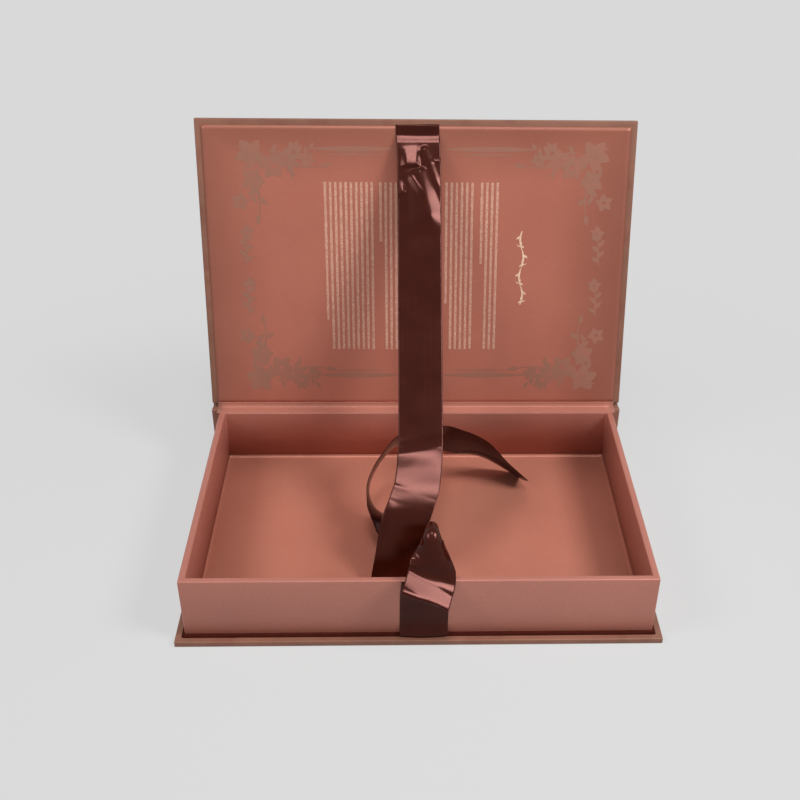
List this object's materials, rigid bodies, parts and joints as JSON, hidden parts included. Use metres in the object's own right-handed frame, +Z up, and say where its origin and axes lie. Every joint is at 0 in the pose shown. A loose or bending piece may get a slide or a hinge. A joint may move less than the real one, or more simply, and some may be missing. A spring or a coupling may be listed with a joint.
{
  "type": "gift box",
  "caption": "Book-style gift box: a shallow paper-lined tray on a cover with a hinged lid board, closed by two satin ribbons.",
  "frame": {"origin": "centre of the base cover's underside, where the box rests", "axes": "+X to the right along the box's width, +Y from the ribbon side to the spine, +Z up"},
  "size_m": [0.254, 0.2164, 0.2064],
  "materials": {
    "cover_paper": "mottled brown paper with a fine emboss",
    "tray_paper": "pearlescent copper paper",
    "liner_paper": "printed pearlescent copper paper",
    "floor_card": "pearlescent copper card",
    "greyboard": "raw greyboard",
    "tape": "gummed kraft tape",
    "ribbon": "dark brown satin"
  },
  "bodies": {
    "tray": {"base_wrap": "cover_paper", "base_board": "greyboard", "spine_board": "greyboard", "spine_wrap": "cover_paper", "tray_floor_board": "greyboard", "tray_front_board": "greyboard", "tray_back_board": "greyboard", "tray_left_board": "greyboard", "tray_right_board": "greyboard", "corner_tape_front_left": "tape", "corner_tape_front_right": "tape", "corner_tape_back_left": "tape", "corner_tape_back_right": "tape", "tray_wrap": "tray_paper", "tray_floor_panel": "floor_card", "front_ribbon_tab": "ribbon", "front_ribbon": "ribbon", "hinge_outer_paper": "cover_paper", "hinge_inner_paper": "liner_paper"},
    "lid": {"lid_board": "greyboard", "lid_wrap": "cover_paper", "lid_liner": "liner_paper", "lid_ribbon_tab": "ribbon", "lid_ribbon": "ribbon"}
  },
  "joints": [
    {"name": "lid_hinge", "type": "hinge", "parent": "tray", "child": "lid", "pos_m": [0, 0.0862, 0.0401], "axis": [1, 0, 0], "range_deg": [0, 104], "deforming": ["hinge_outer_paper", "hinge_inner_paper", "lid_ribbon", "front_ribbon"]}
  ]
}
